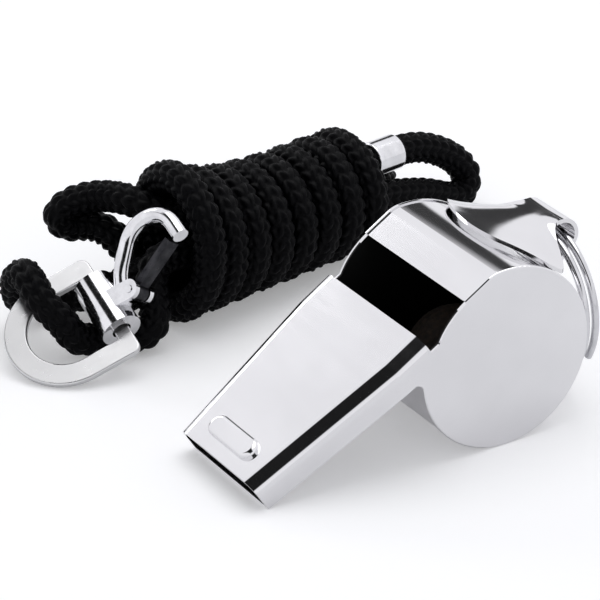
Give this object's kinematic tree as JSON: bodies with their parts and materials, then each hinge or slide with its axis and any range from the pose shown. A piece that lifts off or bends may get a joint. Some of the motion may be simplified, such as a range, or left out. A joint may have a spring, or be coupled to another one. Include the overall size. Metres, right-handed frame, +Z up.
{
  "type": "pea whistle with lanyard",
  "caption": "polished metal pea whistle with split ring and cork pea, its black cord lanyard wound in a hank beside it with a snap hook",
  "frame": {"origin": "on the supporting surface under the middle of the whistle, taken without the lanyard", "axes": "+X out of the mouthpiece, +Y to the whistle's right-hand disc, +Z up"},
  "size_m": [0.072, 0.0631, 0.023],
  "materials": {
    "polished_steel": "polished",
    "ring_steel": "polished",
    "satin_plating": "satin",
    "hook_plating": "polished",
    "spring_steel": "blackened",
    "cork": "matte",
    "cord": "knitted"
  },
  "bodies": {
    "whistle": {"body_shell": "polished_steel", "barrel_band": "polished_steel", "mouthpiece_floor": "polished_steel", "ring_bracket": "polished_steel", "lanyard_cord": "cord", "joint_sleeve": "hook_plating", "hook_eye": "satin_plating"},
    "pea": {"cork_pea": "cork"},
    "ring": {"split_ring": "ring_steel"},
    "hook": {"hook_body": "hook_plating", "gate_pin": "hook_plating"},
    "gate": {"hook_gate": "spring_steel"}
  },
  "joints": [
    {"name": "pea_run", "type": "hinge", "parent": "whistle", "child": "pea", "pos_m": [-0.00903, 0, 0.01086], "axis": [0, 1, 0], "continuous": true},
    {"name": "ring_swing", "type": "hinge", "parent": "whistle", "child": "ring", "pos_m": [-0.02127, 0, 0.02015], "axis": [0, 1, 0], "range_deg": [0, 170]},
    {"name": "hook_swing", "type": "hinge", "parent": "whistle", "child": "hook", "pos_m": [0.01898, -0.0331, 0.00655], "axis": [0, 0.9135, -0.4067], "range_deg": [0, 100]},
    {"name": "gate_open", "type": "hinge", "parent": "hook", "child": "gate", "pos_m": [0.01633, -0.0303, 0.00915], "axis": [0.7986, 0.2448, 0.5498], "range_deg": [0, 22], "stiffness_Nm_per_rad": 0.02, "springref_deg": -11.46}
  ]
}
